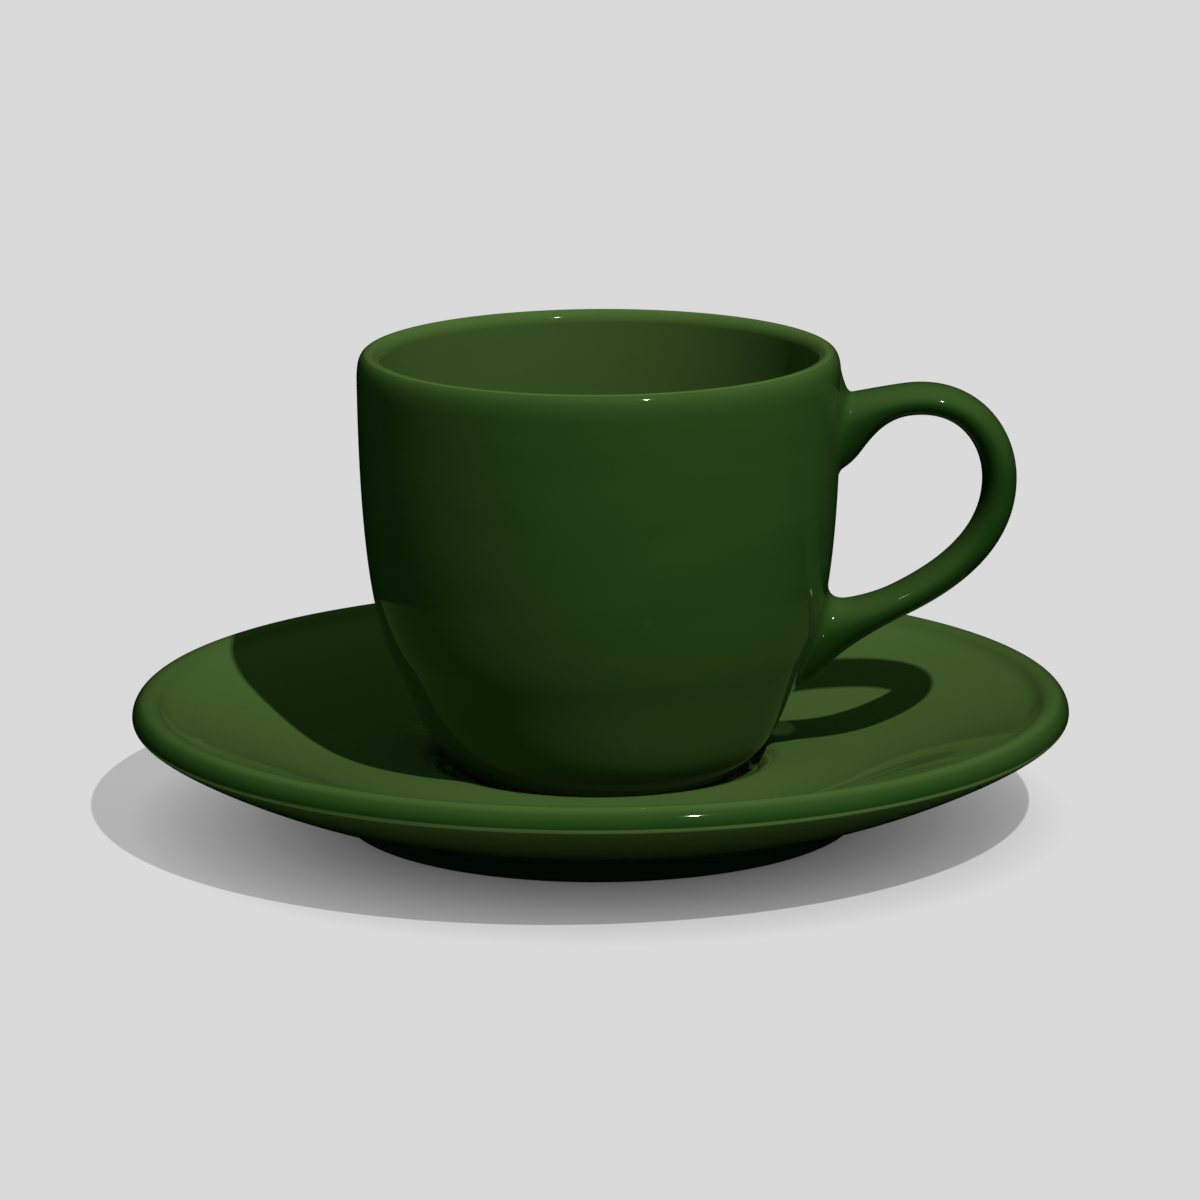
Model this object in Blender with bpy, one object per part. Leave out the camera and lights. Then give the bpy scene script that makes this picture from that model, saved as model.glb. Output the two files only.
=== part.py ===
"""Coffee cup standing on its saucer, both glazed stoneware. Metres, +Z up.

The saucer stands on z = 0 with its axis on Z. The cup stands in the saucer's well and its handle
points along +X. The cup body and the saucer are turned; the handle is a strap that is lofted along
a loop, flares at both roots and is trimmed to the wall that it is luted to.
"""
import math

import bmesh
import bpy
from mathutils import Matrix, Vector
from mathutils.geometry import interpolate_bezier

# Saucer: lip bead, flange, ring round the well, well and foot ring
SAUCER_RADIUS = 0.0750
LIP_TOP = 0.0205
LIP_ROUND = 0.0028
LIP_EDGE_ROUND = 0.0010
LIP_EDGE_TURN = math.radians(35)
BEAD_WIDTH = 0.0068
BEAD_HEIGHT = 0.0019
BEAD_RISE = math.radians(40)
BEAD_PULL = 0.0009
FLANGE_RISE = math.radians(20)
FLANGE_PULL = 0.0248
RING_WIDTH = 0.0040
RING_HEIGHT = 0.0019
RING_RISE = math.radians(45)
RING_PULL = 0.0016
RING_FALL = math.radians(4.75)
FLOOR_RUN = 0.0153
WELL_MARGIN = 0.0017
WELL_HEIGHT = 0.0083
WELL_THICKNESS = 0.0044
UNDERSIDE_LIP_PULL = 0.0028
UNDERSIDE_FOOT_PULL = 0.0110
SAUCER_FOOT_RADIUS = 0.0415
SAUCER_FOOT_HEIGHT = 0.0040
SAUCER_FOOT_WIDTH = 0.0045
SAUCER_FOOT_TAPER = 0.0006
SAUCER_FOOT_ROUND = 0.0006

# Cup body: lip, wall, hip, base and foot ring, with heights measured from the cup's own foot
SEAT_GAP = 0.0003
CUP_HEIGHT = 0.06725
RIM_RADIUS = 0.0384
RIM_ROUND = 0.0019
RIM_PULL = 0.0300
WALL = 0.0041
HIP_RADIUS = 0.0338
HIP_HEIGHT = 0.0193
HIP_SLOPE = math.radians(24)
HIP_PULL_UP = 0.0055
HIP_PULL_DOWN = 0.0106
BASE_RADIUS = 0.0235
BASE_SLOPE = math.radians(40)
BASE_PULL = 0.0069
FLOOR_THICKNESS = 0.0038
FLOOR_RADIUS = 0.0100
FLOOR_PULL = 0.0140
CUP_FOOT_INSET = 0.0017
CUP_FOOT_WIDTH = 0.0030
CUP_FOOT_HEIGHT = 0.0008
CUP_FOOT_RECESS = 0.0010

# Handle: a strap of oval section, thick in the plane of the loop and wide across it
JOINT_GAP = 0.0003
HANDLE_REACH = 0.0280
STRAP_THICKNESS = 0.0050
BEND_THICKNESS = 0.0055
STRAP_WIDTH = 0.0104
ROOT_WIDTH = 0.0122
FLARE_SINK = 0.0030
UPPER_ROOT_HEIGHT = 0.0137
UPPER_ROOT_DROP = 0.0122
UPPER_RISE = math.radians(31)
UPPER_PULL = 0.0194
UPPER_FLARE = 0.0115
BEND_DROP = 0.0210
BEND_PULL_UP = 0.0090
BEND_PULL_DOWN = 0.0164
LOWER_ROOT_HEIGHT = 0.0139
LOWER_ROOT_RISE = 0.0211
LOWER_RISE = math.radians(23)
LOWER_PULL = 0.0074
LOWER_FLARE = 0.0144

# How far the strap runs on inside the wall before it is trimmed, in heights of its root
ROOT_RUNS = (0.25, 0.5, 1.0)

# Facets
TURN_STEPS = 56
CURVE_STEPS = 9
WALL_STEPS = 11
ROUND_STEPS = 8
EDGE_STEPS = 3
RING_STEPS = 5
LOOP_STEPS = 24
STRAP_SIDES = 20
SHARP_ANGLE = math.radians(35)
WELD = 1e-6

GLAZE_GREEN = (0.036, 0.080, 0.020, 1.0)
GLAZE_ROUGHNESS = 0.12


def at(radius, height):
    """A point of a turned outline, on the +X side."""
    return Vector((radius, 0.0, height))


def towards(angle):
    """Unit vector in the XZ plane, at an angle above +X."""
    return at(math.cos(angle), math.sin(angle))


def curve(start, start_pull, end_pull, end, steps=CURVE_STEPS):
    """Cubic from start to end, where each pull is the vector from its end to its control point."""
    return interpolate_bezier(start, start + start_pull, end + end_pull, end, steps)


def arc(centre, radius, first, last, steps):
    return [centre + radius * towards(first + (last - first) * k / (steps - 1)) for k in range(steps)]


def glaze(name):
    material = bpy.data.materials.new(name)
    material.use_nodes = True
    shader = material.node_tree.nodes["Principled BSDF"]
    shader.inputs["Base Color"].default_value = GLAZE_GREEN
    shader.inputs["Roughness"].default_value = GLAZE_ROUGHNESS
    shader.inputs["Metallic"].default_value = 0.0
    return material


def add_piece(name, bm, parent=None):
    """Close the bmesh into a smooth shaded object with its own glaze."""
    bmesh.ops.recalc_face_normals(bm, faces=bm.faces)
    mesh = bpy.data.meshes.new(name)
    bm.to_mesh(mesh)
    bm.free()
    mesh.shade_smooth()
    mesh.set_sharp_from_angle(angle=SHARP_ANGLE)
    mesh.materials.append(glaze(name + "_glaze"))
    piece = bpy.data.objects.new(name, mesh)
    piece.parent = parent
    bpy.context.collection.objects.link(piece)
    return piece


def turned(outline):
    """Spin an outline that starts and ends on the Z axis into a closed body."""
    bm = bmesh.new()
    points = [bm.verts.new(point) for point in outline]
    edges = [bm.edges.new(pair) for pair in zip(points, points[1:])]
    bmesh.ops.spin(bm, geom=points + edges, cent=(0, 0, 0), axis=(0, 0, 1), angle=math.tau,
                   steps=TURN_STEPS, use_merge=True)
    bmesh.ops.remove_doubles(bm, verts=bm.verts, dist=WELD)
    return bm


def saucer_outline():
    """Well, ring, floor and flange, lip bead, underside and foot ring, from the axis outwards and back."""
    lip_height = LIP_TOP - LIP_ROUND
    lip = arc(at(SAUCER_RADIUS - LIP_ROUND, lip_height), LIP_ROUND, math.pi / 2 + BEAD_RISE, 0, ROUND_STEPS)
    edge = arc(at(SAUCER_RADIUS - LIP_EDGE_ROUND, lip_height), LIP_EDGE_ROUND, 0, -LIP_EDGE_TURN, EDGE_STEPS)
    well = at(BASE_RADIUS + WELL_MARGIN, WELL_HEIGHT)
    crest = well + at(RING_WIDTH, RING_HEIGHT)
    bead = at(SAUCER_RADIUS - BEAD_WIDTH, LIP_TOP - BEAD_HEIGHT)
    ring = curve(well, RING_PULL * towards(RING_RISE), -RING_PULL * towards(-RING_FALL), crest, RING_STEPS)
    dish = curve(crest, FLOOR_RUN * towards(-RING_FALL), -FLANGE_PULL * towards(FLANGE_RISE), bead)
    bead_root = curve(bead, BEAD_PULL * towards(FLANGE_RISE), -BEAD_PULL * towards(BEAD_RISE), lip[0],
                      EDGE_STEPS)
    foot_top = at(SAUCER_FOOT_RADIUS - SAUCER_FOOT_TAPER, SAUCER_FOOT_HEIGHT)
    under_lip = -towards(math.pi / 2 - LIP_EDGE_TURN)
    underside = curve(edge[-1], UNDERSIDE_LIP_PULL * under_lip, at(UNDERSIDE_FOOT_PULL, 0), foot_top)
    foot_outside = arc(at(SAUCER_FOOT_RADIUS - SAUCER_FOOT_ROUND, SAUCER_FOOT_ROUND), SAUCER_FOOT_ROUND,
                       0, -math.pi / 2, EDGE_STEPS)
    inside = SAUCER_FOOT_RADIUS - SAUCER_FOOT_WIDTH
    foot_inside = arc(at(inside + SAUCER_FOOT_ROUND, SAUCER_FOOT_ROUND), SAUCER_FOOT_ROUND,
                      -math.pi / 2, -math.pi, EDGE_STEPS)
    recess = WELL_HEIGHT - WELL_THICKNESS
    recess_edge = at(inside - SAUCER_FOOT_TAPER, recess)
    top = ring + dish[1:] + bead_root[1:]
    foot = foot_outside + foot_inside + [recess_edge]
    return [at(0, WELL_HEIGHT)] + top + lip[1:] + edge[1:] + underside[1:] + foot + [at(0, recess)]


def cup_outside():
    """Outside of the wall from the lip, over the hip, down to the edge of the base."""
    hip = at(HIP_RADIUS, HIP_HEIGHT)
    wall = towards(math.pi / 2 - HIP_SLOPE)
    rim = at(RIM_RADIUS, CUP_HEIGHT - RIM_ROUND)
    base = at(BASE_RADIUS, CUP_FOOT_HEIGHT)
    upper = curve(rim, at(0, -RIM_PULL), HIP_PULL_UP * wall, hip, WALL_STEPS)
    lower = curve(hip, -HIP_PULL_DOWN * wall, BASE_PULL * towards(BASE_SLOPE), base)
    return upper + lower[1:]


def cup_inside():
    """Inside of the bowl from the middle of its floor up to the lip."""
    wall = towards(math.pi / 2 - HIP_SLOPE)
    hip = at(HIP_RADIUS, HIP_HEIGHT) - WALL * towards(-HIP_SLOPE)
    rim = at(RIM_RADIUS - 2 * RIM_ROUND, CUP_HEIGHT - RIM_ROUND)
    floor_height = CUP_FOOT_RECESS + FLOOR_THICKNESS
    lower = curve(at(FLOOR_RADIUS, floor_height), at(FLOOR_PULL, 0), -HIP_PULL_DOWN * wall, hip)
    upper = curve(hip, HIP_PULL_UP * wall, at(0, -RIM_PULL), rim)
    return [at(0, floor_height)] + lower + upper[1:]


def cup_outline():
    """The bowl's inside, its half round lip, its outside and the low foot ring."""
    lip = arc(at(RIM_RADIUS - RIM_ROUND, CUP_HEIGHT - RIM_ROUND), RIM_ROUND, math.pi, 0, ROUND_STEPS)
    outer = BASE_RADIUS - CUP_FOOT_INSET
    inner = outer - CUP_FOOT_WIDTH
    foot = [at(outer, CUP_FOOT_HEIGHT), at(outer, 0), at(inner, 0), at(inner, CUP_FOOT_RECESS)]
    return cup_inside() + lip[1:-1] + cup_outside() + foot + [at(0, CUP_FOOT_RECESS)]


def wall_point(height):
    """The point of the cup's outside at a height above its foot."""
    outside = cup_outside()
    spans = zip(outside, outside[1:])
    high, low = next(span for span in spans if span[1].z <= height <= span[0].z)
    return low.lerp(high, (height - low.z) / (high.z - low.z))


def wall_envelope():
    """The cup as the handle meets it: its outside, grown by the gap of the luted joint, filled solid."""
    outside = cup_outside()
    grown = []
    for k, point in enumerate(outside):
        along = outside[min(k + 1, len(outside) - 1)] - outside[max(k - 1, 0)]
        grown.append(point + JOINT_GAP * at(-along.z, along.x).normalized())
    return turned([at(0, CUP_HEIGHT), at(grown[0].x, CUP_HEIGHT)] + grown + [at(0, grown[-1].z)])


def strap_line():
    """Centre line of the strap, from inside the upper wall, round the loop, to inside the lower wall."""
    upper = wall_point(CUP_HEIGHT - UPPER_ROOT_DROP)
    lower = wall_point(LOWER_ROOT_RISE)
    bend = at(RIM_RADIUS + HANDLE_REACH - BEND_THICKNESS / 2, CUP_HEIGHT - BEND_DROP)
    out_above, out_below = towards(UPPER_RISE), towards(LOWER_RISE)
    over = curve(upper, UPPER_PULL * out_above, at(0, BEND_PULL_UP), bend, LOOP_STEPS)
    under = curve(bend, at(0, -BEND_PULL_DOWN), LOWER_PULL * out_below, lower, LOOP_STEPS)
    run_in = [upper - run * UPPER_ROOT_HEIGHT * out_above for run in reversed(ROOT_RUNS)]
    run_out = [lower - run * LOWER_ROOT_HEIGHT * out_below for run in ROOT_RUNS]
    return run_in, over + under[1:], run_out


def flare(distance, length):
    """Share of a root's extra size at a distance outside the wall, 1 just inside it and 0 up the strap."""
    share = min(max((distance + FLARE_SINK) / (FLARE_SINK + length), 0.0), 1.0)
    return (1.0 - share) ** 2


def strap_sections():
    """One matrix for each section, which takes a unit circle to the oval at that place."""
    run_in, loop, run_out = strap_line()
    line = run_in + loop + run_out
    lengths = [0.0]
    for here, there in zip(line, line[1:]):
        lengths.append(lengths[-1] + (there - here).length)
    upper_wall = lengths[len(run_in)]
    lower_wall = lengths[-1 - len(run_out)]
    sections = []
    for k, point in enumerate(line):
        along = (line[min(k + 1, len(line) - 1)] - line[max(k - 1, 0)]).normalized()
        across = Vector((0, 1, 0))
        outward = across.cross(along)
        upper = flare(lengths[k] - upper_wall, UPPER_FLARE)
        lower = flare(lower_wall - lengths[k], LOWER_FLARE)
        plain = STRAP_THICKNESS + (BEND_THICKNESS - STRAP_THICKNESS) * along.z ** 2
        thickness = plain + (UPPER_ROOT_HEIGHT - plain) * upper + (LOWER_ROOT_HEIGHT - plain) * lower
        width = STRAP_WIDTH + (ROOT_WIDTH - STRAP_WIDTH) * max(upper, lower)
        oval = Matrix((outward * thickness / 2, across * width / 2, along * width / 2)).transposed()
        sections.append(Matrix.Translation(point) @ oval.to_4x4())
    return sections


def strap():
    """Carry one oval ring along the loop and close both of its ends."""
    sections = strap_sections()
    bm = bmesh.new()
    bmesh.ops.create_circle(bm, segments=STRAP_SIDES, radius=1.0, matrix=sections[0])
    ring = bm.edges[:]
    for here, there in zip(sections, sections[1:]):
        grown = bmesh.ops.extrude_edge_only(bm, edges=ring)["geom"]
        ring = [part for part in grown if isinstance(part, bmesh.types.BMEdge)]
        moved = [part for part in grown if isinstance(part, bmesh.types.BMVert)]
        bmesh.ops.transform(bm, matrix=there @ here.inverted(), verts=moved)
    bmesh.ops.holes_fill(bm, edges=bm.edges, sides=STRAP_SIDES)
    return bm


for left_over in list(bpy.data.objects):
    bpy.data.objects.remove(left_over, do_unlink=True)

add_piece("saucer", turned(saucer_outline()))

cup_seat = bpy.data.objects.new("cup_seat", None)
cup_seat.location = (0, 0, WELL_HEIGHT + SEAT_GAP)
bpy.context.collection.objects.link(cup_seat)

add_piece("cup_body", turned(cup_outline()), cup_seat)

envelope = add_piece("wall_envelope", wall_envelope(), cup_seat)
envelope.hide_render = True
envelope.display_type = "WIRE"

handle = add_piece("handle", strap(), cup_seat)
trim = handle.modifiers.new("trim_to_wall", "BOOLEAN")
trim.operation = "DIFFERENCE"
trim.solver = "EXACT"
trim.object = envelope
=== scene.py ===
import math
from bisect import bisect_left

import bmesh
import bpy
from mathutils import Matrix, Vector
from mathutils.geometry import interpolate_bezier


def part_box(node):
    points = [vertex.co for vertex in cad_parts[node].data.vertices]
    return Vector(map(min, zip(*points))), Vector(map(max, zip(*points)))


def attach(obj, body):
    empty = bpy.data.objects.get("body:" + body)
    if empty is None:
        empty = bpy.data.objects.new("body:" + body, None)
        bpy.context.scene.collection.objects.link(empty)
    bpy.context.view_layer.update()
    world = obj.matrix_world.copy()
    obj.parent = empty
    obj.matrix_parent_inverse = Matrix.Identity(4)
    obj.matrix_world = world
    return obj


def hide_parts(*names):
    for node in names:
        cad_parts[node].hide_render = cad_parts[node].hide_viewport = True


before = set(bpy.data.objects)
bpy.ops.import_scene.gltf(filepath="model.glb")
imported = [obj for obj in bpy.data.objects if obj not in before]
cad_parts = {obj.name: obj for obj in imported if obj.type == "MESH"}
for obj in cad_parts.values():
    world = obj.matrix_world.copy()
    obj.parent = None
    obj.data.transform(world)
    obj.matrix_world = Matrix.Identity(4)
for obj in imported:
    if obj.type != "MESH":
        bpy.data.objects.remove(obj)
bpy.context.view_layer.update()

# The saucer is one jiggered piece of stoneware, turned about its axis: a well for the cup inside a low
# ring, a flange that rises to a rolled lip bead, and a foot ring. It is dipped in a glossy dark green
# glaze, and the ring's underside is wiped clean, so that it stands on bare clay.
saucer_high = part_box("saucer")[1]
cup_low, cup_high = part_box("cup_body")
SEAT_GAP = 0.0003
SAUCER_RADIUS = saucer_high.x
LIP_TOP = saucer_high.z
LIP_ROUND = 0.0028
LIP_EDGE_ROUND = 0.0010
LIP_EDGE_TURN = math.radians(35)
LIP_TURN = math.radians(72)
LIP_FACE_TURN = math.radians(45)
BEAD_WIDTH = 0.0068
BEAD_HEIGHT = 0.0019
BEAD_RISE = math.radians(40)
BEAD_PULL = 0.0009
FLANGE_RISE = math.radians(20)
FLANGE_PULL = 0.0248
RING_WIDTH = 0.0040
RING_HEIGHT = 0.0019
RING_RISE = math.radians(45)
RING_PULL = 0.0016
RING_FALL = math.radians(4.75)
DISH_RUN = 0.0153
BASE_RADIUS = 0.0235
WELL_MARGIN = 0.0017
WELL_HEIGHT = cup_low.z - SEAT_GAP
WELL_THICKNESS = 0.0044
UNDERSIDE_LIP_PULL = 0.0028
UNDERSIDE_FOOT_PULL = 0.0110
SAUCER_FOOT_RADIUS = 0.0415
SAUCER_FOOT_HEIGHT = 0.0040
SAUCER_FOOT_WIDTH = 0.0045
SAUCER_FOOT_TAPER = 0.0006
SAUCER_FOOT_ROUND = 0.0006
FOOT_CLAY_HEIGHT = 0.0001
FOOT_FILLET_STEPS = 6
TURN_STEPS = 256
CURVE_STEPS = 40
ROUND_STEPS = 20
WELD = 1e-6

# How deep the glaze is at the start and the end of each stretch of the outline: 0 is thin and light, 1 is
# deep and dark. Beyond the glaze's own thin and deep places, these values carry painted shade and painted
# light, set stretch by stretch, as marked below.
DISH_DEPTHS = (0.725, 0.725)
BEAD_ROOT_DEPTHS = (0.725, 0.76)
LIP_TOP_DEPTHS = (0.76, 0.76)
# The lip is painted darker as it turns from its top to its outer face: painted shade on the face, which
# takes less of the lamp's light.
LIP_TURN_PAINTED_SHADE = (0.76, 0.92)
LIP_FACE_PAINTED_SHADE = (0.92, 1.0)
# The lip's lower edge is light: glaze thin on the edge, and painted light from the lit floor below.
LIP_EDGE_THIN_AND_LIT = (0.80, 0.15)
# The underside is painted lighter near the lip and darker towards the foot: painted light from the lit
# floor, and painted shade under the saucer.
UNDERSIDE_PAINTED_LIGHT_AND_SHADE = (0.78, 1.0)
SAUCER_FOOT_DEPTHS = (1.0, 1.0)

GLAZE_THIN = (0.148, 0.230, 0.062, 1.0)
GLAZE_DEEP = (0.0080, 0.030, 0.0043, 1.0)
GLAZE_SPECK = (0.022, 0.050, 0.012, 1.0)
GLAZE_TINT = (0.80, 1.0, 0.55, 1.0)
GLAZE_IOR = 1.25
GLAZE_ROUGHNESS = 0.045
GLAZE_DEPTH_AND_SHADE = "glaze_depth_and_shade"
BARE_CLAY = (0.52, 0.44, 0.34, 1.0)
CLAY_GRAIN = (0.42, 0.34, 0.25, 1.0)
CLAY_ROUGHNESS = 0.85
NOISE_MIDDLE = 0.5
POOL_SCALE = 30.0
POOL_DETAIL = 3.0
POOL_STRETCH = (1.0, 1.0, 4.0)
POOL_DEPTH = 0.06
POOL_ROUGHNESS = 0.03
SPECK_SCALE = 900.0
SPECK_DETAIL = 1.0
SPECK_LEVELS = (0.69, 0.76)
SPECK_SHARE = 0.15
RIPPLE_SCALE = 70.0
RIPPLE_DETAIL = 2.0
GRAIN_SCALE = 1800.0
GRAIN_DETAIL = 2.0
GRAIN_RELIEF = 0.3
RELIEF_STRENGTH = 0.05
RELIEF_HEIGHT = 0.0004
WIPE_SCALE = 400.0
WIPE_DETAIL = 1.0
WIPE_WAVER = 0.0002
WIPE_EDGE = 0.00004


def at(radius, height):
    """A point of a turned outline, on the +X side."""
    return Vector((radius, 0.0, height))


def towards(angle):
    """Unit vector in the XZ plane, at an angle above +X."""
    return at(math.cos(angle), math.sin(angle))


def curve(start, start_pull, end_pull, end, steps=CURVE_STEPS):
    """Cubic from start to end, where each pull is the vector from its end to its control point."""
    return interpolate_bezier(start, start + start_pull, end + end_pull, end, steps)


def arc(centre, radius, first, last, steps=ROUND_STEPS):
    """Points on a circle in the XZ plane, from one angle to another."""
    return [centre + radius * towards(first + (last - first) * k / (steps - 1)) for k in range(steps)]


def coat_and_shade(points, depths_and_shade):
    """Pair the points of a stretch with the glaze's thickness on them, and the painted shade and light it
    carries, which runs from its start to its end.
    """
    first, last = depths_and_shade
    return [(point, first + (last - first) * k / max(len(points) - 1, 1)) for k, point in enumerate(points)]


def turned(outline):
    """Spin a coated outline that starts and ends on the Z axis into a closed body."""
    bm = bmesh.new()
    depth_and_shade_layer = bm.verts.layers.float.new(GLAZE_DEPTH_AND_SHADE)
    points = []
    for point, depth_and_shade in outline:
        points.append(bm.verts.new(point))
        points[-1][depth_and_shade_layer] = depth_and_shade
    edges = [bm.edges.new(pair) for pair in zip(points, points[1:])]
    bmesh.ops.spin(bm, geom=points + edges, cent=(0, 0, 0), axis=(0, 0, 1), angle=math.tau,
                   steps=TURN_STEPS, use_merge=True)
    bmesh.ops.remove_doubles(bm, verts=bm.verts, dist=WELD)
    bmesh.ops.recalc_face_normals(bm, faces=bm.faces)
    for face in bm.faces:
        face.smooth = True
    return bm


def finished(name, bm, material, body, node):
    """Turn a bmesh into the piece that stands for a node, riding on its body."""
    mesh = bpy.data.meshes.new(name)
    bm.to_mesh(mesh)
    bm.free()
    mesh.materials.append(material)
    piece = bpy.data.objects.new(name, mesh)
    bpy.context.scene.collection.objects.link(piece)
    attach(piece, body)
    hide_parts(node)


class Socket:
    """An output in a node tree, with arithmetic that adds Math nodes to the tree."""

    def __init__(self, tree, output):
        self.tree = tree
        self.output = output

    def feed(self, node, sockets):
        """Link or set input sockets of a node in the tree."""
        for name, value in sockets.items():
            if isinstance(value, Socket):
                self.tree.links.new(value.output, node.inputs[name])
            else:
                node.inputs[name].default_value = value

    def node(self, kind, settings, sockets, output=0):
        """Add a node: its settings first, then what goes into its sockets; gives one of its outputs."""
        new = self.tree.nodes.new(kind)
        for name, value in settings.items():
            setattr(new, name, value)
        self.feed(new, sockets)
        return Socket(self.tree, new.outputs[output])

    def calculate(self, operation, first, second):
        return self.node("ShaderNodeMath", {"operation": operation}, {0: first, 1: second})

    def __add__(self, other):
        return self.calculate("ADD", self, other)

    def __sub__(self, other):
        return self.calculate("SUBTRACT", self, other)

    def __rsub__(self, other):
        return self.calculate("SUBTRACT", other, self)

    def __mul__(self, other):
        return self.calculate("MULTIPLY", self, other)

    def __rtruediv__(self, other):
        return self.calculate("DIVIDE", other, self)

    def __pow__(self, other):
        return self.calculate("POWER", self, other)

    __radd__ = __add__
    __rmul__ = __mul__

    def ease(self, low, high):
        """0 below low and 1 above high, with a smooth step between them."""
        return self.node("ShaderNodeMapRange", {"interpolation_type": "SMOOTHSTEP"},
                         {0: self, 1: low, 2: high, 3: 0.0, 4: 1.0})

    def colour(self, none, full):
        """The colour none where this value is 0, and the colour full where it is 1."""
        # Inputs 6 and 7 and output 2 of a Mix node are its colours.
        return self.node("ShaderNodeMix", {"data_type": "RGBA"}, {0: self, 6: none, 7: full}, 2)


def surface(name):
    """A new material, its Principled shader, and the object's own coordinates in its tree."""
    material = bpy.data.materials.new(name)
    material.use_nodes = True
    shader = material.node_tree.nodes["Principled BSDF"]
    place = Socket(material.node_tree, None).node("ShaderNodeTexCoord", {}, {}, "Object")
    return material, shader, place


def noise(place, scale, detail):
    """A soft random value at a place, about half way between 0 and 1."""
    return place.node("ShaderNodeTexNoise", {}, {"Vector": place, "Scale": scale, "Detail": detail})


def glaze(name, clay_height):
    """Glossy green glaze, lighter where it runs thin and where light is painted in, darker where shade is
    painted in, wiped off below a height to show bare clay.
    """
    material, shader, place = surface(name)
    height = place.node("ShaderNodeSeparateXYZ", {}, {0: place}, "Z")
    depth_and_shade = place.node("ShaderNodeAttribute", {"attribute_name": GLAZE_DEPTH_AND_SHADE}, {}, "Fac")
    stretched = place.node("ShaderNodeVectorMath", {"operation": "MULTIPLY"},
                           {0: place, 1: POOL_STRETCH}, "Vector")
    pooling = noise(stretched, POOL_SCALE, POOL_DETAIL) - NOISE_MIDDLE
    specks = noise(place, SPECK_SCALE, SPECK_DETAIL).ease(*SPECK_LEVELS) * SPECK_SHARE
    ripple = noise(place, RIPPLE_SCALE, RIPPLE_DETAIL)
    grain = noise(place, GRAIN_SCALE, GRAIN_DETAIL)
    waver = (noise(place, WIPE_SCALE, WIPE_DETAIL) - NOISE_MIDDLE) * WIPE_WAVER
    glazed = (height + waver).ease(clay_height - WIPE_EDGE, clay_height + WIPE_EDGE)
    green = specks.colour((depth_and_shade + pooling * POOL_DEPTH).colour(GLAZE_THIN, GLAZE_DEEP), GLAZE_SPECK)
    clay = grain.colour(CLAY_GRAIN, BARE_CLAY)
    glaze_roughness = GLAZE_ROUGHNESS + pooling * POOL_ROUGHNESS
    roughness = glazed * (glaze_roughness - CLAY_ROUGHNESS) + CLAY_ROUGHNESS
    clay_relief = grain * GRAIN_RELIEF
    relief = glazed * (ripple - clay_relief) + clay_relief
    bump = place.node("ShaderNodeBump", {}, {"Strength": RELIEF_STRENGTH, "Distance": RELIEF_HEIGHT,
                                             "Height": relief})
    place.feed(shader, {"Base Color": glazed.colour(clay, green), "Roughness": roughness, "IOR": GLAZE_IOR,
                        "Specular Tint": GLAZE_TINT, "Normal": bump})
    return material


def saucer_outline():
    """Well, ring, floor and flange, lip bead, underside and foot ring, from the axis outwards and back."""
    lip_height = LIP_TOP - LIP_ROUND
    lip_centre = at(SAUCER_RADIUS - LIP_ROUND, lip_height)
    lip_top = arc(lip_centre, LIP_ROUND, math.pi / 2 + BEAD_RISE, LIP_TURN)
    lip_turn = arc(lip_centre, LIP_ROUND, LIP_TURN, LIP_FACE_TURN)
    lip_face = arc(lip_centre, LIP_ROUND, LIP_FACE_TURN, 0)
    lip_edge = arc(at(SAUCER_RADIUS - LIP_EDGE_ROUND, lip_height), LIP_EDGE_ROUND, 0, -LIP_EDGE_TURN)
    well = at(BASE_RADIUS + WELL_MARGIN, WELL_HEIGHT)
    crest = well + at(RING_WIDTH, RING_HEIGHT)
    bead = at(SAUCER_RADIUS - BEAD_WIDTH, LIP_TOP - BEAD_HEIGHT)
    ring = curve(well, RING_PULL * towards(RING_RISE), -RING_PULL * towards(-RING_FALL), crest)
    dish = curve(crest, DISH_RUN * towards(-RING_FALL), -FLANGE_PULL * towards(FLANGE_RISE), bead)
    bead_root = curve(bead, BEAD_PULL * towards(FLANGE_RISE), -BEAD_PULL * towards(BEAD_RISE), lip_top[0],
                      ROUND_STEPS)
    foot_top = at(SAUCER_FOOT_RADIUS - SAUCER_FOOT_TAPER, SAUCER_FOOT_HEIGHT)
    under_lip = -towards(math.pi / 2 - LIP_EDGE_TURN)
    underside = curve(lip_edge[-1], UNDERSIDE_LIP_PULL * under_lip, at(UNDERSIDE_FOOT_PULL, 0), foot_top)
    foot_outside = arc(at(SAUCER_FOOT_RADIUS - SAUCER_FOOT_ROUND, SAUCER_FOOT_ROUND), SAUCER_FOOT_ROUND,
                       0, -math.pi / 2, FOOT_FILLET_STEPS)
    inside = SAUCER_FOOT_RADIUS - SAUCER_FOOT_WIDTH
    foot_inside = arc(at(inside + SAUCER_FOOT_ROUND, SAUCER_FOOT_ROUND), SAUCER_FOOT_ROUND,
                      -math.pi / 2, -math.pi, FOOT_FILLET_STEPS)
    recess = WELL_HEIGHT - WELL_THICKNESS
    foot = foot_outside + foot_inside + [at(inside - SAUCER_FOOT_TAPER, recess), at(0, recess)]
    outline = coat_and_shade([at(0, WELL_HEIGHT)] + ring + dish[1:], DISH_DEPTHS)
    outline += coat_and_shade(bead_root[1:], BEAD_ROOT_DEPTHS)
    outline += coat_and_shade(lip_top[1:], LIP_TOP_DEPTHS)
    outline += coat_and_shade(lip_turn[1:], LIP_TURN_PAINTED_SHADE)
    outline += coat_and_shade(lip_face[1:], LIP_FACE_PAINTED_SHADE)
    outline += coat_and_shade(lip_edge[1:], LIP_EDGE_THIN_AND_LIT)
    outline += coat_and_shade(underside[1:], UNDERSIDE_PAINTED_LIGHT_AND_SHADE)
    return outline + coat_and_shade(foot, SAUCER_FOOT_DEPTHS)


finished("glazed_saucer", turned(saucer_outline()), glaze("saucer_glaze", FOOT_CLAY_HEIGHT),
         "saucer", "saucer")

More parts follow.
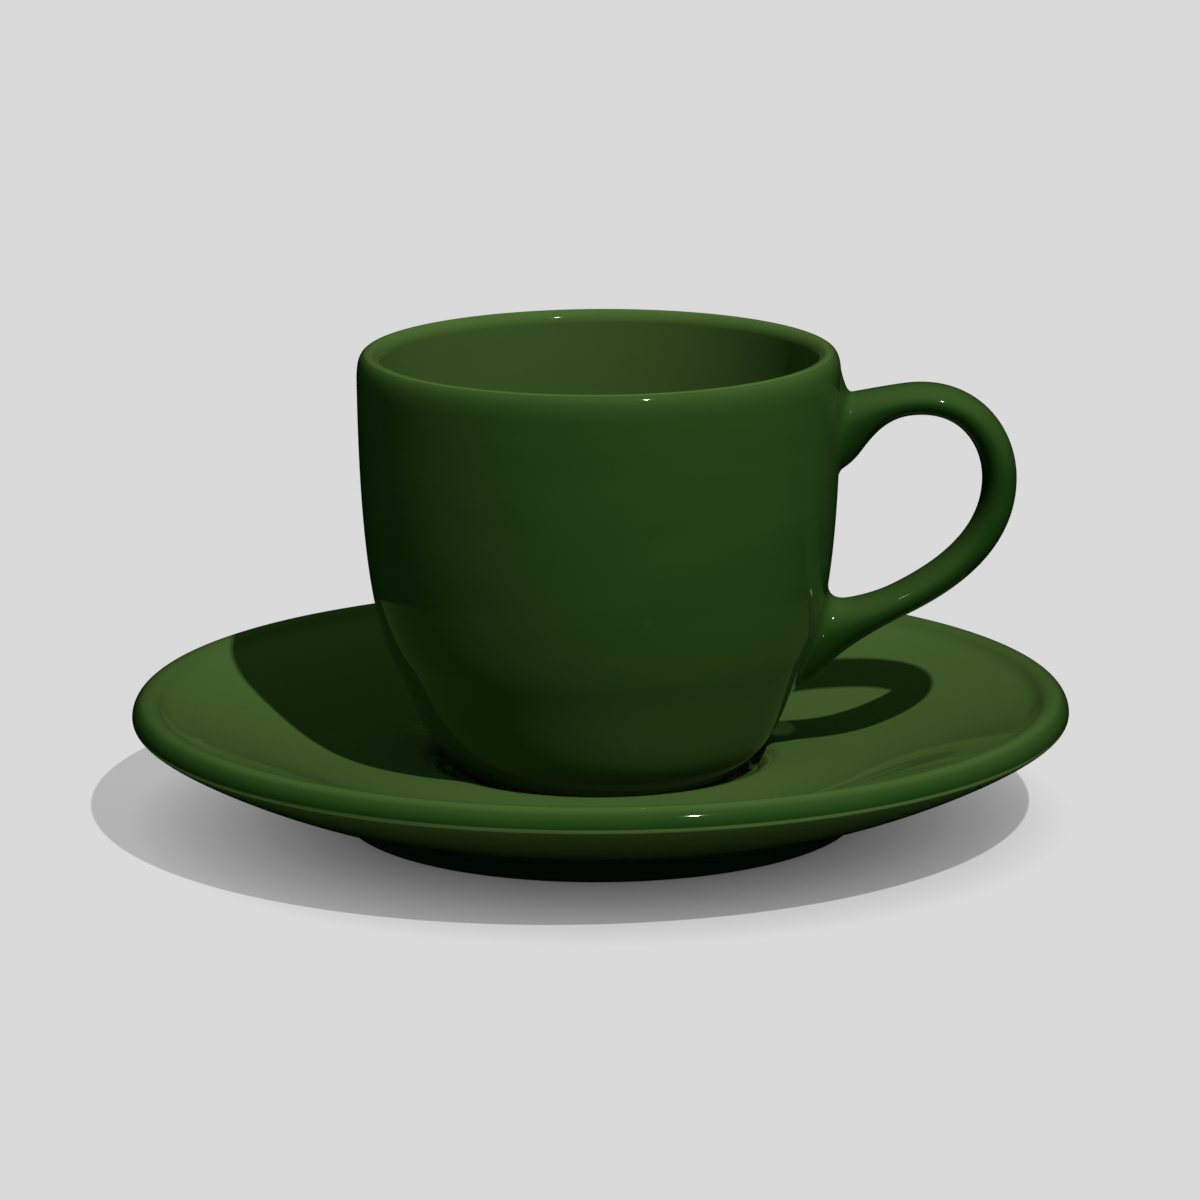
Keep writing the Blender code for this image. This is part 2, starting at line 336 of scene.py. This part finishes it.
# The cup body is one turned bowl of the same stoneware under the same glaze. Its wall is thick and
# nearly straight, rounds over at the lip, and turns in below the hip to a small base with a low foot
# ring, which stands in the saucer's well and is wiped clean as well.
FOOT_CLEARANCE = 0.00002
CUP_FOOT = WELL_HEIGHT + FOOT_CLEARANCE
CUP_TOP = cup_high.z
RIM_RADIUS = cup_high.x
RIM_ROUND = 0.0019
RIM_CREST = math.radians(18)
RIM_CENTRE = at(RIM_RADIUS - RIM_ROUND, CUP_TOP - RIM_ROUND)
RIM_PULL = 0.0300
SHOULDER_PULL = 0.0009
SHOULDER_PULL_UP = 0.0026
WALL = 0.0041
HIP_RADIUS = 0.0338
HIP_HEIGHT = cup_low.z + 0.0193
HIP_SLOPE = math.radians(24)
HIP_PULL_UP = 0.0055
HIP_PULL_DOWN = 0.0106
BASE_SLOPE = math.radians(40)
BASE_PULL = 0.0069
BASE_HEIGHT = cup_low.z + 0.0008
BASE_EDGE = 0.0006
BASE_EDGE_ROUND = 0.0003
CUP_FLOOR_HEIGHT = cup_low.z + 0.0048
CUP_FLOOR_RADIUS = 0.0100
CUP_FLOOR_PULL = 0.0140
CUP_FOOT_INSET = 0.0017
CUP_FOOT_WIDTH = 0.0030
CUP_RECESS_HEIGHT = cup_low.z + 0.0010

# The wall is evenly deep down to a share of the way to the hip. Below that it is painted lighter, most near
# the end of the tuck: painted light where the wall turns under, away from the lamp.
INSIDE_DEPTHS = (0.84, 0.80)
# The lip grows lighter towards its crest: glaze thin over the rim, and a painted highlight line along the
# crest.
LIP_INSIDE_THIN_AND_LIT = (0.80, 0.69)
LIP_CREST_THIN_AND_LIT = (0.60, 0.66)
SHOULDER_DEPTHS = (0.83, 0.94)
WALL_DEPTHS = (0.94, 0.94)
WALL_SHARE = 0.6
HIP_PAINTED_LIGHT = (0.94, 0.875)
TUCK_PAINTED_LIGHT = (0.875, 0.84)
TUCK_SHARE = 0.8
BASE_PAINTED_LIGHT = (0.84, 0.60)
# The base's rounded edge is light: glaze thin on the edge, and a painted light line, the lit saucer mirrored
# in it.
BASE_EDGE_THIN_AND_LIT = (0.20, 0.20)
CUP_FOOT_DEPTHS = (0.95, 0.95)


def cup_outside():
    """Outside of the wall: the lip's soft shoulder, the wall down to the hip, and from there to the base."""
    hip = at(HIP_RADIUS, HIP_HEIGHT)
    wall = towards(math.pi / 2 - HIP_SLOPE)
    crest = RIM_CENTRE + RIM_ROUND * towards(math.pi / 2 - RIM_CREST)
    # The shoulder takes the place of the first step of the wall's curve.
    upper = curve(at(RIM_RADIUS, CUP_TOP - RIM_ROUND), at(0, -RIM_PULL), HIP_PULL_UP * wall, hip)[1:]
    shoulder = curve(crest, SHOULDER_PULL * towards(-RIM_CREST), at(0, SHOULDER_PULL_UP), upper[0],
                     ROUND_STEPS)
    lower = curve(hip, -HIP_PULL_DOWN * wall, BASE_PULL * towards(BASE_SLOPE), at(BASE_RADIUS, BASE_HEIGHT))
    return shoulder, upper[1:], lower[1:]


def cup_inside():
    """Inside of the bowl from the middle of its floor up to the lip."""
    wall = towards(math.pi / 2 - HIP_SLOPE)
    hip = at(HIP_RADIUS, HIP_HEIGHT) - WALL * towards(-HIP_SLOPE)
    rim = at(RIM_RADIUS - 2 * RIM_ROUND, CUP_TOP - RIM_ROUND)
    lower = curve(at(CUP_FLOOR_RADIUS, CUP_FLOOR_HEIGHT), at(CUP_FLOOR_PULL, 0), -HIP_PULL_DOWN * wall, hip)
    upper = curve(hip, HIP_PULL_UP * wall, at(0, -RIM_PULL), rim)
    return [at(0, CUP_FLOOR_HEIGHT)] + lower + upper[1:]


def cup_outline():
    """The bowl's inside, its round lip, its outside and the low foot ring."""
    lip_inside = arc(RIM_CENTRE, RIM_ROUND, math.pi, math.pi / 2 + RIM_CREST)
    lip_crest = arc(RIM_CENTRE, RIM_ROUND, math.pi / 2 + RIM_CREST, math.pi / 2 - RIM_CREST)
    shoulder, upper, lower = cup_outside()
    even = int(len(upper) * WALL_SHARE)
    tuck = int(len(lower) * TUCK_SHARE)
    edge_end = at(BASE_RADIUS, BASE_HEIGHT) - BASE_EDGE * towards(BASE_SLOPE)
    edge_side = BASE_SLOPE - math.pi / 2
    edge = arc(edge_end - BASE_EDGE_ROUND * towards(edge_side), BASE_EDGE_ROUND, edge_side, -math.pi / 2,
               FOOT_FILLET_STEPS)
    outer = BASE_RADIUS - CUP_FOOT_INSET
    inner = outer - CUP_FOOT_WIDTH
    foot = [at(outer, edge[-1].z), at(outer, CUP_FOOT), at(inner, CUP_FOOT), at(inner, CUP_RECESS_HEIGHT)]
    outline = coat_and_shade(cup_inside(), INSIDE_DEPTHS)
    outline += coat_and_shade(lip_inside[1:], LIP_INSIDE_THIN_AND_LIT)
    outline += coat_and_shade(lip_crest[1:], LIP_CREST_THIN_AND_LIT)
    outline += coat_and_shade(shoulder[1:], SHOULDER_DEPTHS)
    outline += coat_and_shade(upper[:even], WALL_DEPTHS)
    outline += coat_and_shade(upper[even:], HIP_PAINTED_LIGHT)
    outline += coat_and_shade(lower[:tuck], TUCK_PAINTED_LIGHT)
    outline += coat_and_shade(lower[tuck:], BASE_PAINTED_LIGHT)
    outline += coat_and_shade(edge, BASE_EDGE_THIN_AND_LIT)
    return outline + coat_and_shade(foot + [at(0, CUP_RECESS_HEIGHT)], CUP_FOOT_DEPTHS)


finished("glazed_cup_body", turned(cup_outline()), glaze("cup_glaze", CUP_FOOT + FOOT_CLAY_HEIGHT),
         "cup", "cup_body")

# The handle is a cast strap of oval section, bent into an ear and luted to the wall with slip. Each
# root swells like a trumpet towards the wall, and the slip is wiped into a small fillet round it. The
# glaze runs over strap and wall alike, so the fillet runs out flush on the wall.
handle_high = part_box("handle")[1]
STRAP_THICKNESS = 0.0050
BEND_THICKNESS = 0.0055
STRAP_WIDTH = 0.0104
ROOT_WIDTH = 0.0122
FLARE_SINK = 0.0030
FLARE_BLEND = 0.06
FLARE_CURVE = 2
UPPER_ROOT_HEIGHT = 0.0137
UPPER_ROOT_DROP = 0.0122
UPPER_RISE = math.radians(31)
UPPER_PULL = 0.0194
UPPER_FLARE = 0.0115
UPPER_BELLY = 0.0065
UPPER_BELLY_START = 0.10
UPPER_BELLY_CURVE = 3
BEND_DROP = 0.0210
BEND_PULL_UP = 0.0090
BEND_PULL_DOWN = 0.0164
LOWER_ROOT_HEIGHT = 0.0139
LOWER_ROOT_RISE = 0.0211
LOWER_RISE = math.radians(23)
LOWER_PULL = 0.0074
LOWER_FLARE = 0.0144
LOOP_STEPS = 80
STRAP_SIDES = 72
STRAP_ROWS = 120

# A fillet's run along the wall, its run along the strap, and how far its corner stands off the wall.
SIDE_FILLET = (0.0022, 0.0026, 0.0)
UPPER_OUTER_FILLET = (0.0044, 0.0016, 0.0007)
UPPER_INNER_FILLET = (0.0010, 0.0010, 0.0)
LOWER_OUTER_FILLET = (0.0008, 0.0012, 0.0)
LOWER_INNER_FILLET = (0.0040, 0.0036, 0.0)
FILLET_PULL = 2 / 3
FILLET_STEPS = 12
FILLET_SINK = 0.00003
WALL_LIFT = 0.00002
LANDING_TRIES = 40

# How deep the strap's glaze is, how much lighter it is painted where the strap faces up, as painted light
# from above, and darker where it faces down, as painted shade, and how deep it is at the roots.
STRAP_DEPTH = 1.0
STRAP_TOP_PAINTED_LIGHT = 0.15
UPPER_ROOT_DEPTH = 0.94
LOWER_ROOT_DEPTH = 0.88

# The handle is glazed all over, so its bare clay ends at the floor, far below it.
HANDLE_CLAY_HEIGHT = 0.0

outside = sum(cup_outside(), [])
outside_heights = [point.z for point in reversed(outside)]
outside_radii = [point.x for point in reversed(outside)]


def wall_radius(height):
    """Radius of the cup's outside at a height."""
    k = min(max(bisect_left(outside_heights, height), 1), len(outside_heights) - 1)
    share = (height - outside_heights[k - 1]) / (outside_heights[k] - outside_heights[k - 1])
    return outside_radii[k - 1] + share * (outside_radii[k] - outside_radii[k - 1])


def strap_line():
    """The strap's centre line, starting and ending inside the wall, and the length to each of its points."""
    upper_height = CUP_TOP - UPPER_ROOT_DROP
    lower_height = cup_low.z + LOWER_ROOT_RISE
    upper = at(wall_radius(upper_height), upper_height)
    lower = at(wall_radius(lower_height), lower_height)
    bend = at(handle_high.x - BEND_THICKNESS / 2, CUP_TOP - BEND_DROP)
    out_above = towards(UPPER_RISE)
    out_below = towards(LOWER_RISE)
    over = curve(upper, UPPER_PULL * out_above, at(0, BEND_PULL_UP), bend, LOOP_STEPS)
    under = curve(bend, at(0, -BEND_PULL_DOWN), LOWER_PULL * out_below, lower, LOOP_STEPS)
    start = upper - UPPER_ROOT_HEIGHT * out_above
    end = lower - LOWER_ROOT_HEIGHT * out_below
    line = [start] + over + under[1:] + [end]
    lengths = [0.0]
    for here, there in zip(line, line[1:]):
        lengths.append(lengths[-1] + (there - here).length)
    return line, lengths


strap_points, strap_lengths = strap_line()
upper_wall = strap_lengths[1]
lower_wall = strap_lengths[-2]
strap_directions = []
for k in range(len(strap_points)):
    ahead = strap_points[min(k + 1, len(strap_points) - 1)]
    behind = strap_points[max(k - 1, 0)]
    strap_directions.append((ahead - behind).normalized())


def root_share(distance, length):
    """Place of a distance outside the wall on a root's flare: 0 just inside the wall, 1 at its end."""
    share = (distance + FLARE_SINK) / (FLARE_SINK + length)
    return min((share + math.hypot(share, FLARE_BLEND)) / 2, 1.0)


def flare(distance, length):
    """Share of a root's extra size at a distance outside the wall."""
    return (1.0 - root_share(distance, length)) ** FLARE_CURVE


def belly(distance):
    """Extra half thickness under the upper root: fuller a little way out, and tucked in at the wall."""
    share = root_share(distance, UPPER_FLARE)
    return UPPER_BELLY * (share - UPPER_BELLY_START) * (1.0 - share) ** UPPER_BELLY_CURVE


def strap_point(length, angle):
    """The strap's surface at a length along its line and an angle round its oval, 0 inside the loop."""
    k = min(max(bisect_left(strap_lengths, length), 1), len(strap_lengths) - 1)
    share = (length - strap_lengths[k - 1]) / (strap_lengths[k] - strap_lengths[k - 1])
    centre = strap_points[k - 1].lerp(strap_points[k], share)
    along = strap_directions[k - 1].lerp(strap_directions[k], share).normalized()
    across = Vector((0, 1, 0))
    inward = across.cross(along)
    upper = flare(length - upper_wall, UPPER_FLARE)
    lower = flare(lower_wall - length, LOWER_FLARE)
    plain = STRAP_THICKNESS + (BEND_THICKNESS - STRAP_THICKNESS) * along.z ** 2
    thickness = plain + (UPPER_ROOT_HEIGHT - plain) * upper + (LOWER_ROOT_HEIGHT - plain) * lower
    width = STRAP_WIDTH + (ROOT_WIDTH - STRAP_WIDTH) * max(upper, lower)
    facing = math.cos(angle)
    reach = thickness / 2
    if facing > 0:
        reach += belly(length - upper_wall)
    return centre + inward * (facing * reach) + across * (math.sin(angle) * width / 2)


def landing(inner, outer, angle):
    """The length at which the strap's surface comes through the wall, from one inside to one outside it."""
    for _ in range(LANDING_TRIES):
        middle = (inner + outer) / 2
        point = strap_point(middle, angle)
        if math.hypot(point.x, point.y) < wall_radius(point.z) + WALL_LIFT:
            inner = middle
        else:
            outer = middle
    return outer


def fillet_size(angle, outer, inner):
    """The three sizes of a fillet at an angle round the oval, between those of its sides and its ends."""
    facing = math.cos(angle)
    ends = inner if facing > 0 else outer
    return [side + (end - side) * facing ** 2 for side, end in zip(SIDE_FILLET, ends)]


def fillet(length, corner_length, shoulder_length, on_wall, angle, root):
    """Curve from the wall to the strap's shoulder across the corner at its landing."""
    landed = strap_point(length, angle)
    normal = Vector((landed.x, landed.y, 0)).normalized()
    away = landed - root
    moved = landed + on_wall * (away - away.dot(normal) * normal).normalized()
    scale = (wall_radius(moved.z) - FILLET_SINK) / math.hypot(moved.x, moved.y)
    foot = Vector((moved.x * scale, moved.y * scale, moved.z))
    corner = strap_point(corner_length, angle)
    shoulder = strap_point(shoulder_length, angle)
    return curve(foot, FILLET_PULL * (corner - foot), FILLET_PULL * (corner - shoulder), shoulder,
                 FILLET_STEPS)


def strap_side(angle):
    """One line of the strap's surface: up one fillet from the wall, round the loop and down the other."""
    upper_on_wall, upper_on_strap, upper_corner = fillet_size(angle, UPPER_OUTER_FILLET, UPPER_INNER_FILLET)
    lower_on_wall, lower_on_strap, lower_corner = fillet_size(angle, LOWER_OUTER_FILLET, LOWER_INNER_FILLET)
    middle = (upper_wall + lower_wall) / 2
    start = landing(0.0, middle, angle)
    end = landing(strap_lengths[-1], middle, angle)
    first = start + upper_on_strap
    last = end - lower_on_strap
    above = fillet(start, start + upper_corner, first, upper_on_wall, angle, strap_points[1])
    below = fillet(end, end - lower_corner, last, lower_on_wall, angle, strap_points[-2])
    loop = [strap_point(first + (last - first) * row / STRAP_ROWS, angle) for row in range(1, STRAP_ROWS)]
    return above + loop + below[::-1]


def strap():
    """Carry a ring along the lines of the strap's surface, and close it inside the wall at both ends."""
    lines = [strap_side(math.tau * side / STRAP_SIDES) for side in range(STRAP_SIDES)]
    bm = bmesh.new()
    depth_and_shade_layer = bm.verts.layers.float.new(GLAZE_DEPTH_AND_SHADE)
    bmesh.ops.create_circle(bm, segments=STRAP_SIDES, radius=STRAP_WIDTH / 2)
    edges = bm.edges[:]
    verts = bm.verts[:]
    rings = []
    for number, row in enumerate(zip(*lines)):
        if number:
            grown = bmesh.ops.extrude_edge_only(bm, edges=edges)["geom"]
            edges = [part for part in grown if isinstance(part, bmesh.types.BMEdge)]
            verts = [part for part in grown if isinstance(part, bmesh.types.BMVert)]
        for vert, point in zip(verts, row):
            vert.co = point
        rings.append(verts)
    bmesh.ops.holes_fill(bm, edges=bm.edges, sides=STRAP_SIDES)
    bmesh.ops.recalc_face_normals(bm, faces=bm.faces)
    for face in bm.faces:
        face.smooth = len(face.verts) < STRAP_SIDES
    bm.normal_update()
    for number, verts in enumerate(rings):
        to_end = len(rings) - 1 - number
        root_depth = UPPER_ROOT_DEPTH if number < to_end else LOWER_ROOT_DEPTH
        share = min(number, to_end, FILLET_STEPS - 1) / (FILLET_STEPS - 1)
        for vert in verts:
            # Painted light and shade: the strap is painted lighter where it faces up and darker where it
            # faces down.
            strap_depth_and_light = STRAP_DEPTH - STRAP_TOP_PAINTED_LIGHT * vert.normal.z
            vert[depth_and_shade_layer] = root_depth + (strap_depth_and_light - root_depth) * share
    return bm


finished("glazed_handle", strap(), glaze("handle_glaze", HANDLE_CLAY_HEIGHT),
         "cup", "handle")

# One small studio lamp stands above right of the camera, and the room adds a weak even light, a little
# green like the shade in the photo. The room is dark in the glaze, which mirrors only the lamp and the
# pieces themselves, and the camera sees it in the same even grey as the floor.
LAMP_PLACE = Vector((0.407, -0.748, 1.109))
LAMP_RADIUS = 0.012
LAMP_POWER = 98.0
ROOM_LIGHT = (0.22, 0.33, 0.265, 1.0)
BACKGROUND = 0.70

lamp = bpy.data.lights.new("key_lamp", "POINT")
lamp.energy = LAMP_POWER
lamp.shadow_soft_size = LAMP_RADIUS
lamp_object = bpy.data.objects.new("key_lamp", lamp)
lamp_object.location = LAMP_PLACE
bpy.context.scene.collection.objects.link(lamp_object)

world = bpy.data.worlds.new("studio")
bpy.context.scene.world = world
world.use_nodes = True
room = world.node_tree.nodes["Background"]
mirrored = Socket(world.node_tree, None).node("ShaderNodeLightPath", {}, {}, "Is Glossy Ray")
seen = mirrored.node("ShaderNodeLightPath", {}, {}, "Is Camera Ray")
room_colour = seen.colour(ROOM_LIGHT, (BACKGROUND, BACKGROUND, BACKGROUND, 1.0))
mirrored.feed(room, {"Color": room_colour, "Strength": 1.0 - mirrored})

# A plain pale floor fills the view. Its grey is even all over, because it gives off what the lamp leaves out
# further away. Under the saucer that glow is dimmed by occlusion, a painted soft shade, and the floor
# darkens as well in the lamp's shadow.
# A lamp's light on a level floor falls off with the cube of the distance from the lamp.
FLOOR_SIZE = 4.0
FLOOR_LIT = 0.26
LAMP_LEVEL = 1.01
LAMP_FALL = 3.0
FLOOR_SHADE_REACH = 0.015
FLOOR_SHADE_CURVE = 0.57
ROOM_REACH = 0.5
SHADE_SAMPLES = 16

bm = bmesh.new()
bmesh.ops.create_grid(bm, x_segments=1, y_segments=1, size=FLOOR_SIZE / 2)
floor_mesh = bpy.data.meshes.new("floor")
bm.to_mesh(floor_mesh)
bm.free()
floor = bpy.data.objects.new("floor", floor_mesh)
bpy.context.scene.collection.objects.link(floor)
floor_material, floor_shader, place = surface("floor_grey")
camera_ray = place.node("ShaderNodeLightPath", {}, {}, "Is Camera Ray")
near = place.node("ShaderNodeAmbientOcclusion", {"samples": SHADE_SAMPLES},
                  {"Distance": FLOOR_SHADE_REACH}, "AO")
far = place.node("ShaderNodeAmbientOcclusion", {"samples": SHADE_SAMPLES}, {"Distance": ROOM_REACH}, "AO")
distance = place.node("ShaderNodeVectorMath", {"operation": "DISTANCE"}, {0: place, 1: LAMP_PLACE}, "Value")
lamp_share = (LAMP_PLACE.length / distance) ** LAMP_FALL * (FLOOR_LIT * LAMP_LEVEL)
room_share = place.node("ShaderNodeVectorMath", {"operation": "SCALE"},
                        {0: ROOM_LIGHT[:3], "Scale": far * FLOOR_LIT}, "Vector")
# The glow is dimmed by the occlusion near the saucer: painted soft shade.
lack = place.node("ShaderNodeVectorMath", {"operation": "SUBTRACT"},
                  {0: (BACKGROUND - lamp_share) * near ** FLOOR_SHADE_CURVE, 1: room_share}, "Vector")
glow = place.node("ShaderNodeVectorMath", {"operation": "SCALE"}, {0: lack, "Scale": camera_ray}, "Vector")
place.feed(floor_shader, {"Base Color": (FLOOR_LIT, FLOOR_LIT, FLOOR_LIT, 1.0), "Roughness": 1.0,
                          "Specular IOR Level": 0.0, "Emission Color": glow, "Emission Strength": 1.0})
floor_mesh.materials.append(floor_material)
floor.visible_glossy = False

# The camera stands in front of the cup, well above its rim, and looks a little down on it through a
# long lens. The focal length is in pixels of the photo, whose outlines it was fitted to.
CAMERA_DISTANCE = 0.9101
CAMERA_HEIGHT = 0.2475
CAMERA_PITCH = math.radians(13.13)
CAMERA_ROLL = math.radians(-0.3)
SENSOR_WIDTH = 36.0
FOCAL_PIXELS = 5845
PHOTO_WIDTH = 1200

camera = bpy.data.cameras.new("camera")
camera.sensor_width = SENSOR_WIDTH
camera.lens = SENSOR_WIDTH * FOCAL_PIXELS / PHOTO_WIDTH
camera_object = bpy.data.objects.new("camera", camera)
camera_object.matrix_world = (Matrix.Translation((0.0, -CAMERA_DISTANCE, CAMERA_HEIGHT))
                              @ Matrix.Rotation(math.pi / 2 - CAMERA_PITCH, 4, "X")
                              @ Matrix.Rotation(CAMERA_ROLL, 4, "Z"))
bpy.context.scene.collection.objects.link(camera_object)
bpy.context.scene.camera = camera_object
bpy.context.scene.view_settings.view_transform = "Standard"
